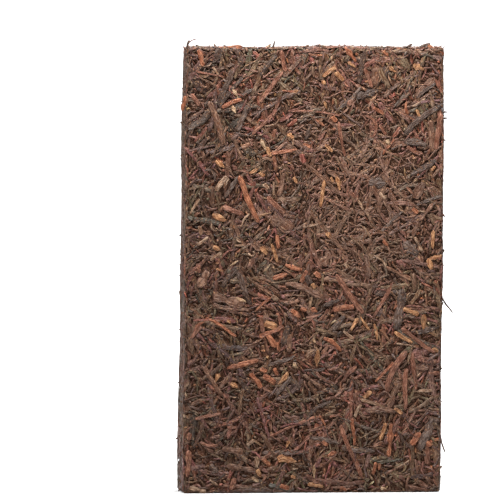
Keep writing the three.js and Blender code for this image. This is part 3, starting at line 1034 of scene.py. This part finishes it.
        return Strips(
            kind=kind, side=side,
            u=np.clip(u, -room_u, room_u), v=np.clip(v, -room_v, room_v),
            angle=angle, length=length, width=width, thickness=width * flatness,
            bend=rng.standard_normal(count) * kind.bend * 0.6,
            sway=rng.standard_normal(count) * kind.sway * 0.6,
            roll=rng.standard_normal(count) * 0.22,
            twist=rng.standard_normal(count) * kind.twist,
            tint=colour, seed=rng.random(count),
        )

    def fill(self, side: Side) -> tuple[Bed, dict[str, Strips]]:
        """Lays every course on one side and presses it.

        Then come the darker strips that the photograph shows on the front, then a little more of the fine
        leaf on every side, and last the front's bright strips.

        Args:
            side: The side.

        Returns:
            The pressed bed and the strips that still show, by the name of their kind.
        """
        half_u, half_v, _ = self.mould.halves(side)
        bed = Bed(half_u, half_v)
        area = 4 * half_u * half_v / 1000
        laid: dict[str, list[Strips]] = {kind.name: [] for kind in KINDS}

        def lay(strips: Strips) -> None:
            """Lets strips come to rest on the bed, and keeps them."""
            bed.lay(strips)
            laid[strips.kind.name].append(strips)

        for course in range(len(KINDS[0].courses)):
            for kind in KINDS:
                left = round(kind.courses[course] * area)
                while left > 0:
                    lay(self.scatter(kind, side, min(left, self.batch), bed))
                    left -= self.batch
        for seen in SEEN if side is Side.FRONT else ():
            lay(self.strips_of(seen.kind, len(seen.runs), seen))
        for kind in KINDS:
            if kind.round:
                lay(self.scatter(kind, side, round(self.strewn * area), bed))
        for seen in BRIGHT if side is Side.FRONT else ():
            lay(self.strips_of(seen.kind, len(seen.runs), seen))
        bed.press(self.flush, self.evenness)
        shown = {}
        for name, batches in laid.items():
            if batches:
                strips = Strips.joined(batches)
                shown[name] = strips.only(bed.shown(strips) > self.hidden_below)
        return bed, shown

    def strips_of(self, name: str, count: int, seen: Seen | None = None) -> Strips:
        """Strips of one kind on the front, level and not yet laid.

        Args:
            name: The kind's name.
            count: How many there are.
            seen: The strips of the photograph, or None for strips at random.

        Returns:
            The strips.
        """
        kind = next(kind for kind in KINDS if kind.name == name)
        half_u, half_v, _ = self.mould.halves(Side.FRONT)
        strips = self.scatter(kind, Side.FRONT, count, Bed(half_u, half_v))
        if seen:
            strips = replace(strips, **seen.arrays(self.mould, sum(kind.flatness) / 2))
        strips.line = np.zeros((count, LINE_STEPS))
        return strips

    def fray(self, pieces: dict[str, Piece]) -> None:
        """Adds ends of leaf that stick out past the outline, and the longer strays of the photograph.

        The ends are spread along the outline and over the brick's thickness. Each points outwards, give
        or take, and most of it lies inside.

        Args:
            pieces: The pieces that they are added to.
        """
        rng, mould = self.rng, self.mould
        half_u, half_v, half_out = mould.halves(Side.FRONT)
        for name in ("threads", "shreds"):
            count = self.frays // 2
            along = rng.random(count) * (half_u + half_v) * 2 - half_v
            sign = rng.choice((-1.0, 1.0), count)
            upright = along < half_v
            away = np.where(upright, np.where(sign > 0, 0.0, math.pi), math.pi / 2)
            strips = self.strips_of(name, count)
            strips.angle = away + rng.uniform(-self.fray_slant, self.fray_slant, count)
            inwards = strips.length / 2 * np.cos(strips.angle - away) - rng.uniform(*self.fray_out, count)
            strips.u = np.where(upright, sign * (half_u - inwards), along - half_v - half_u)
            strips.v = np.where(upright, along, half_v - inwards)
            depth = rng.uniform(self.fray_inset, 2 * half_out - self.fray_inset, (count, 1))
            pieces[name].add(strips, lambda _u, _v, height, depth=depth: height - depth,
                             partial(mould.straight, Side.FRONT), shaded=0.0)
        for seen in STRAYS:
            strips = self.strips_of(seen.kind, len(seen.runs), seen)
            pieces[seen.kind].add(strips, lambda _u, _v, height: height - self.stray_depth,
                                  partial(mould.straight, Side.FRONT), shaded=0.0)

    def build(self, finish: "LeafFinish") -> list[bpy.types.Object]:
        """Fills all six sides and writes one piece for each kind of strip.

        Args:
            finish: The finish of the leaf.

        Returns:
            The pieces.
        """
        pieces = {kind.name: Piece(kind) for kind in KINDS}
        for side in Side:
            bed, shown = self.fill(side)
            limit = 0.0 if side is Side.BASE else self.most_proud
            for name, strips in shown.items():
                rise_of = partial(self.rise, bed=bed, limit=limit, rub=self.rub if side.broad else 0.0)
                pieces[name].add(strips, rise_of, partial(self.mould.wrap, side))
        self.fray(pieces)
        material = finish.material()
        return [piece.build(material) for piece in pieces.values() if piece.points]


@dataclass
class PackedCore:
    """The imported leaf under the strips: a block with rounded edges and a crumbled surface.

    inset is how far it lies inside the mould's wall, edge the radius of its edges, cell the pitch of its
    mesh, crumble the height of its relief, waves how many waves that is made of, and tint its colour.
    """

    mould: Mould
    rng: np.random.Generator
    inset: float = 1.15
    edge: float = 0.8
    cell: float = 1.2
    crumble: float = 0.22
    waves: int = 40
    tint: tuple[float, float, float] = (0.054, 0.029, 0.018)

    def build(self, material: bpy.types.Material) -> bpy.types.Object:
        """Writes the core's mesh.

        The points are those on the outside of a lattice of cells, so that the six sides share the points
        of their edges. Each is pulled in to a block with rounded edges and then moved along its normal
        by a sum of plane waves in random directions.

        Args:
            material: The finish.

        Returns:
            The new object.
        """
        size = np.array((self.mould.width, self.mould.thickness, self.mould.height)) - 2 * self.inset
        counts = np.round(size / self.cell).astype(int)
        places = []
        for axis in range(3):
            a, b = (axis + 1) % 3, (axis + 2) % 3
            i, j = np.divmod(np.arange(counts[a] * counts[b]), counts[b])
            for end in (0, counts[axis]):
                quad = np.zeros((len(i), 4, 3), int)
                quad[..., axis] = end
                quad[..., a] = i[:, None] + np.array((0, 1, 1, 0))
                quad[..., b] = j[:, None] + np.array((0, 0, 1, 1))
                places.append(quad if end else quad[:, ::-1])
        places = np.concatenate(places).reshape(-1, 3)
        lattice, corners = np.unique(places, axis=0, return_inverse=True)
        points = (lattice / counts - 0.5) * size
        inner = size / 2 - self.edge
        nearest = np.clip(points, -inner, inner)
        normal = points - nearest
        normal /= np.maximum(np.linalg.norm(normal, axis=1, keepdims=True), 1e-9)
        ways = self.rng.standard_normal((self.waves, 3))
        ways /= np.linalg.norm(ways, axis=1, keepdims=True)
        pitch = 2 * math.pi / self.rng.uniform(3.0, 9.0, self.waves)
        phase = self.rng.uniform(0, 2 * math.pi, self.waves)
        relief = np.sin(points @ (ways * pitch[:, None]).T + phase).sum(axis=1) / math.sqrt(self.waves / 2)
        points = nearest + normal * (self.edge + self.crumble * relief)[:, None]
        corners = corners.ravel()
        return write_mesh("packed_core", self.mould.placed(points), corners, np.full(len(corners) // 4, 4),
                          material, {}, np.tile(self.tint, (len(points), 1)))


class Wire:
    """A socket in an expression. Sums and products of wires and numbers add Math nodes."""

    def __init__(self, recipe: "Recipe", socket: bpy.types.NodeSocket) -> None:
        """Holds the socket and the recipe whose nodes it belongs to."""
        self.recipe, self.socket = recipe, socket

    def math(self, operation: str, first: "Wire | float", second: "Wire | float") -> "Wire":
        """Adds one Math node."""
        return self.recipe.node("ShaderNodeMath", {"operation": operation}, {0: first, 1: second})

    def __add__(self, other: "Wire | float") -> "Wire":
        """The sum."""
        return self.math("ADD", self, other)

    __radd__ = __add__

    def __sub__(self, other: "Wire | float") -> "Wire":
        """The difference."""
        return self.math("SUBTRACT", self, other)

    def __rsub__(self, other: float) -> "Wire":
        """A number less this."""
        return self.math("SUBTRACT", other, self)

    def __mul__(self, other: "Wire | float") -> "Wire":
        """The product."""
        return self.math("MULTIPLY", self, other)

    __rmul__ = __mul__

    def __abs__(self) -> "Wire":
        """The distance from zero."""
        return self.math("ABSOLUTE", self, 0.0)

    def scaled(self, factor: "Wire | float") -> "Wire":
        """A colour or vector times a number."""
        return self.recipe.node("ShaderNodeVectorMath", {"operation": "SCALE"}, {0: self, "Scale": factor})

    def stretched(self, factors: tuple[float, float, float]) -> "Wire":
        """A vector with each coordinate times its own number."""
        return self.recipe.node("ShaderNodeVectorMath", {"operation": "MULTIPLY"}, {0: self, 1: factors})


class Recipe:
    """The nodes of one material.

    CREASE and CREST_HIGHLIGHT are what a colour is multiplied by at the bottom of a crease and on a crest:
    painted shade and a painted highlight.
    """

    # Painted shade at the bottom of a crease, and a painted highlight, a little bluer, on a crest.
    CREASE = (0.37, 0.22, 0.14)
    CREST_HIGHLIGHT = (1.04, 1.04, 1.06)

    def __init__(self, name: str) -> None:
        """Starts an empty material with that name."""
        self.material = bpy.data.materials.new(name)
        self.material.use_nodes = True
        self.tree = self.material.node_tree
        self.tree.nodes.clear()

    def node(self, kind: str, settings: dict[str, object] | None = None,
             sockets: dict[str | int, object] | None = None, output: int | str = 0) -> Wire:
        """Adds one node.

        Args:
            kind: The node's type.
            settings: Its own settings, which are set first.
            sockets: A value or a wire for each of its inputs.
            output: Which of its outputs to hand back.

        Returns:
            That output, or a wire without a socket where the node has none.
        """
        node = self.tree.nodes.new(kind)
        for key, value in (settings or {}).items():
            setattr(node, key, value)
        for key, value in (sockets or {}).items():
            if isinstance(value, Wire):
                self.tree.links.new(value.socket, node.inputs[key])
            else:
                node.inputs[key].default_value = value
        return Wire(self, node.outputs[output] if len(node.outputs) else None)

    def tint(self) -> Wire:
        """The colour that the mesh holds at each point, which on the strips has their painted shade by depth
        in it.
        """
        return self.node("ShaderNodeAttribute", {"attribute_name": "tint"}, output="Color")

    def place(self) -> Wire:
        """The point itself, in metres on the piece's own axes."""
        return self.node("ShaderNodeTexCoord", output="Object")

    def noise(self, place: Wire, scale: float, detail: float, rough: float, output: int | str = 0) -> Wire:
        """Noise of one scale at a place, from 0 to 1."""
        sockets = {"Vector": place, "Scale": scale, "Detail": detail, "Roughness": rough}
        return self.node("ShaderNodeTexNoise", {}, sockets, output)

    def fitted(self, value: Wire, low: float, high: float, to_low: float, to_high: float) -> Wire:
        """A value moved from one range to another, and held within it."""
        return self.node("ShaderNodeMapRange", {}, {"Value": value, "From Min": low, "From Max": high,
                                                    "To Min": to_low, "To Max": to_high})

    def mixed(self, share: Wire, first: Wire | tuple[float, ...], second: tuple[float, float, float]) -> Wire:
        """A colour that goes over to another by a share."""
        sockets = {"Factor": share, 6: first, 7: (*second, 1.0)}
        return self.node("ShaderNodeMix", {"data_type": "RGBA"}, sockets, 2)

    def bumped(self, height: Wire, depth: float) -> Wire:
        """A normal bent by a height, of which 1 stands for so many millimetres."""
        sockets = {"Height": height, "Strength": 1.0, "Distance": depth * METRES}
        return self.node("ShaderNodeBump", {}, sockets)

    def crease_shaded(self, colour: Wire, crest: Wire) -> Wire:
        """A colour with painted shade in its creases and a painted highlight on its crests.

        The painted shade stands in for light that gets out of a crease after meeting the leaf more than once,
        so the colour deepens there as well as darkening: its blue falls most and its red least.

        Args:
            colour: The colour.
            crest: How far out of a crease each point is, from 0 to 1.

        Returns:
            The colour with its painted shade and highlight.
        """
        shade = self.mixed(crest, (*self.CREASE, 1.0), self.CREST_HIGHLIGHT)
        return self.node("ShaderNodeVectorMath", {"operation": "MULTIPLY"}, {0: colour, 1: shade})

    def finished(self, sockets: dict[str | int, object]) -> bpy.types.Material:
        """Adds the surface shader and hands back the material."""
        shader = self.node("ShaderNodeBsdfPrincipled", {}, sockets)
        self.node("ShaderNodeOutputMaterial", {}, {"Surface": shader})
        return self.material


@dataclass(frozen=True)
class LeafFinish:
    """Dry leaf pressed against a wall: wrinkles along the strip with painted shade in the creases between,
    and blotches.

    wrinkle is the depth of the wrinkles, dull the middle of the roughness, shine the strength of the gloss,
    scorched the colour of the darkened places, and downy that of the pale down.
    """

    name: str = "pressed_leaf"
    wrinkle: float = 0.26
    dull: float = 0.48
    shine: float = 0.15
    scorched: tuple[float, float, float] = (0.058, 0.034, 0.023)
    downy: tuple[float, float, float] = (0.300, 0.165, 0.080)

    def material(self) -> bpy.types.Material:
        """Builds the finish.

        Wrinkles are noise drawn out along the strip on its own map, and a crease is where that noise
        crosses its middle value. The strip's tint is darkened in creases as painted shade, lightened on the
        wrinkles' crests as a painted highlight and mottled by blotches, and in places it turns to a scorched
        dark brown. Specks of pale down lie over all of it.

        Returns:
            The material.
        """
        recipe = Recipe(self.name)
        grain = recipe.node("ShaderNodeUVMap", {"uv_map": "grain"})
        folds = abs(recipe.noise(grain.stretched((0.8, 0.16, 1.0)), 1.0, 2.0, 0.65) - 0.5)
        crests = recipe.fitted(folds, 0.0, 0.14, 0.0, 1.0)
        fibres = recipe.noise(grain.stretched((2.2, 0.4, 1.0)), 1.0, 1.0, 0.5)
        blotches = recipe.noise(grain.stretched((0.55, 0.3, 1.0)), 1.0, 3.0, 0.65)
        clouds = recipe.noise(grain.stretched((0.3, 0.16, 1.0)), 1.0, 2.0, 0.6)
        scorch = recipe.fitted(clouds, 0.5, 0.68, 0.0, 0.4)
        down = recipe.fitted(recipe.noise(recipe.place(), 850.0, 1.0, 0.5), 0.6, 0.74, 0.0, 0.5)
        leaf = recipe.mixed(down, recipe.mixed(scorch, recipe.tint(), self.scorched), self.downy)
        # Painted shade in the wrinkles' creases and a painted highlight on their crests.
        crease_shaded = recipe.crease_shaded(leaf, recipe.fitted(folds, 0.0, 0.1, 0.0, 1.0))
        lit = recipe.fitted(blotches, 0.3, 0.7, 0.8, 1.08)
        rough = recipe.fitted(blotches, 0.3, 0.7, self.dull - 0.16, self.dull + 0.12)
        bump = recipe.bumped(crests + fibres * 0.4, self.wrinkle)
        return recipe.finished({"Base Color": crease_shaded.scaled(lit), "Roughness": rough, "Normal": bump,
                                "Specular IOR Level": self.shine})


@dataclass(frozen=True)
class CoreFinish:
    """The crumpled leaf that fills the gaps between the strips.

    pitch is the width of its furrows, flake the size of its flakes, ruddy the colour that some of them go
    over to, relief the depth of the furrows, dull the roughness, and shine the strength of the gloss.
    """

    name: str = "packed_dust"
    pitch: float = 1.1
    flake: float = 3.2
    ruddy: tuple[float, float, float] = (0.118, 0.063, 0.039)
    relief: float = 0.4
    dull: float = 0.8
    shine: float = 0.12

    def material(self) -> bpy.types.Material:
        """Builds the finish.

        The crumpled leaf is split into flakes by Voronoi cells. In each flake the space is turned another
        way by the cell's random colour, and noise drawn out along one axis of it makes furrows, with painted
        shade in the creases where that noise crosses its middle value and a painted highlight on the crests.
        The same random colour mottles the tint.

        Returns:
            The material.
        """
        recipe = Recipe(self.name)
        place = recipe.place()
        stray = recipe.noise(place, 400.0, 2.0, 0.5, "Color").scaled(0.0025)
        strayed = recipe.node("ShaderNodeVectorMath", {"operation": "ADD"}, {0: place, 1: stray})
        cells = {"Vector": strayed, "Scale": 1 / (self.flake * METRES)}
        flake = recipe.node("ShaderNodeTexVoronoi", {}, cells, "Color")
        turned = recipe.node("ShaderNodeVectorRotate", {"rotation_type": "EULER_XYZ"},
                             {"Vector": place, "Rotation": flake.scaled(2 * math.pi)})
        across = 1 / (self.pitch * METRES)
        folds = abs(recipe.noise(turned.stretched((across, across, across / 5)), 1.0, 2.0, 0.5) - 0.5)
        crests = recipe.fitted(folds, 0.0, 0.16, 0.0, 1.0)
        red = recipe.node("ShaderNodeSeparateColor", {}, {0: flake}, "Red")
        blue = recipe.node("ShaderNodeSeparateColor", {}, {0: flake}, "Blue")
        leaf = recipe.mixed(recipe.fitted(blue, 0.3, 1.0, 0.0, 1.0), recipe.tint(), self.ruddy)
        # Painted shade in the furrows' creases and a painted highlight on their crests.
        crease_shaded = recipe.crease_shaded(leaf, crests)
        lit = recipe.fitted(red, 0.0, 1.0, 0.75, 1.4)
        bump = recipe.bumped(crests + red, self.relief)
        return recipe.finished({"Base Color": crease_shaded.scaled(lit), "Roughness": self.dull, "Normal": bump,
                                "Specular IOR Level": self.shine})


@dataclass(frozen=True)
class Studio:
    """A pale floor that curves up behind the brick, soft lamps and the camera.

    azimuth and elevation give the way that the camera looks, in degrees, distance how far it stands from
    the brick, across and above how far it is moved aside, in metres, and lens its focal length. paper is
    how pale the floor is.
    """

    azimuth: float = -4.4
    elevation: float = 2.4
    distance: float = 3.905
    lens: float = 500.0
    across: float = -0.0347
    above: float = 0.0107
    paper: float = 0.46

    def floor(self) -> bpy.types.Object:
        """Builds the floor.

        Its profile runs flat from the front, round a quarter circle and straight up, and is carried
        sideways.

        Returns:
            The floor.
        """
        turn = np.linspace(0, math.pi / 2, 25)
        radius, back, front, top, half = 0.5, 4.8, -6.0, 4.0, 6.0
        y = np.concatenate(([front, -0.5, 0.5], back + radius * np.sin(turn), [back + radius]))
        z = np.concatenate(([0.0, 0.0, 0.0], radius * (1 - np.cos(turn)), [top]))
        points = np.concatenate([np.stack((np.full_like(y, x), y, z), axis=1) for x in (-half, half)])
        n = len(y)
        i = np.arange(n - 1)
        faces = np.stack((i + n, i + n + 1, i + 1, i), axis=1)
        recipe = Recipe("studio_paper")
        tooth = recipe.noise(recipe.place(), 400.0, 2.0, 0.5)
        colour = recipe.node("ShaderNodeCombineColor", {}, {0: self.paper, 1: self.paper, 2: self.paper})
        material = recipe.finished({"Base Color": colour.scaled(recipe.fitted(tooth, 0.0, 1.0, 0.985, 1.015)),
                                    "Roughness": 0.9})
        floor = write_mesh("studio_floor", points / METRES, faces.ravel(), np.full(n - 1, 4), material, {},
                           np.ones((2 * n, 3)))
        return floor

    def lamp(self, name: str, place: tuple[float, float, float], power: float, size: float,
             aim: Vector) -> None:
        """Adds a square soft lamp that looks at a point.

        Args:
            name: Its name.
            place: Where it hangs, in metres.
            power: Its power in watts.
            size: The length of its sides, in metres.
            aim: The point that it looks at.
        """
        light = bpy.data.lights.new(name, "AREA")
        light.energy, light.size = power, size
        lamp = bpy.data.objects.new(name, light)
        lamp.location = place
        lamp.rotation_euler = (aim - Vector(place)).to_track_quat("-Z", "Y").to_euler()
        bpy.context.scene.collection.objects.link(lamp)

    def light(self, aim: Vector) -> None:
        """Lights the scene.

        A key from the upper left grazes the shown face, and a lamp close above and in front makes the top
        brighter than the bottom. A weak fill stands on the right. Two strong lamps light the floor beside
        the brick and the backdrop, so that both come out white, and the sky is weak.

        Args:
            aim: The middle of the brick.
        """
        self.lamp("key_lamp", (-1.2, -0.6, 1.25), 38.0, 0.3, aim)
        self.lamp("near_lamp", (-0.03, -0.21, 0.58), 8.2, 0.2, aim)
        self.lamp("fill_lamp", (0.5, -0.6, 0.35), 0.5, 0.5, aim)
        self.lamp("paper_lamp", (1.0, 1.3, 1.3), 150.0, 0.8, Vector((0.25, 0.3, 0.0)))
        self.lamp("backdrop_lamp", (0.1, 3.2, 2.4), 290.0, 1.4, Vector((0.1, 5.0, 0.3)))
        world = bpy.data.worlds.new("pale_sky")
        world.use_nodes = True
        sky = world.node_tree.nodes["Background"]
        sky.inputs["Color"].default_value = (1.0, 0.99, 0.98, 1.0)
        sky.inputs["Strength"].default_value = 0.2
        bpy.context.scene.world = world

    def camera(self, middle: Vector) -> None:
        """Puts the camera where the photograph was taken from.

        It looks along one fixed direction and stands aside of the brick's middle, so that the brick
        lies right of the picture's middle and a little under it.

        Args:
            middle: The middle of the brick.
        """
        turn = Euler((math.radians(90 - self.elevation), 0.0, math.radians(self.azimuth)))
        right, up, back = (turn.to_matrix() @ Vector(axis) for axis in ((1, 0, 0), (0, 1, 0), (0, 0, 1)))
        data = bpy.data.cameras.new("camera")
        data.lens, data.clip_end = self.lens, 20.0
        camera = bpy.data.objects.new("camera", data)
        camera.location = middle + right * self.across + up * self.above + back * self.distance
        camera.rotation_euler = turn
        bpy.context.scene.collection.objects.link(camera)
        bpy.context.scene.camera = camera


def main() -> None:
    """Builds the stage, the core and the leaf, and logs how many triangles each piece has."""
    logging.basicConfig(level=logging.INFO, format="%(message)s")
    mould = Mould.of_box(*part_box(NODE))
    middle = (CAD_BOX[0] + CAD_BOX[1]) / 2
    studio = Studio()
    studio.camera(middle)
    studio.light(middle)
    studio.floor()
    core = PackedCore(mould, np.random.default_rng(SEED)).build(CoreFinish().material())
    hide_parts(NODE)
    pieces = [core, *PressedLeaf(mould, np.random.default_rng(SEED + 1)).build(LeafFinish())]
    for piece in pieces:
        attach(piece, BODY)
        triangles = sum(len(face.vertices) - 2 for face in piece.data.polygons)
        LOG.info("%s: %d triangles", piece.name, triangles)
    bpy.context.scene.view_settings.view_transform = "Standard"


if __name__ == "__main__":
    main()
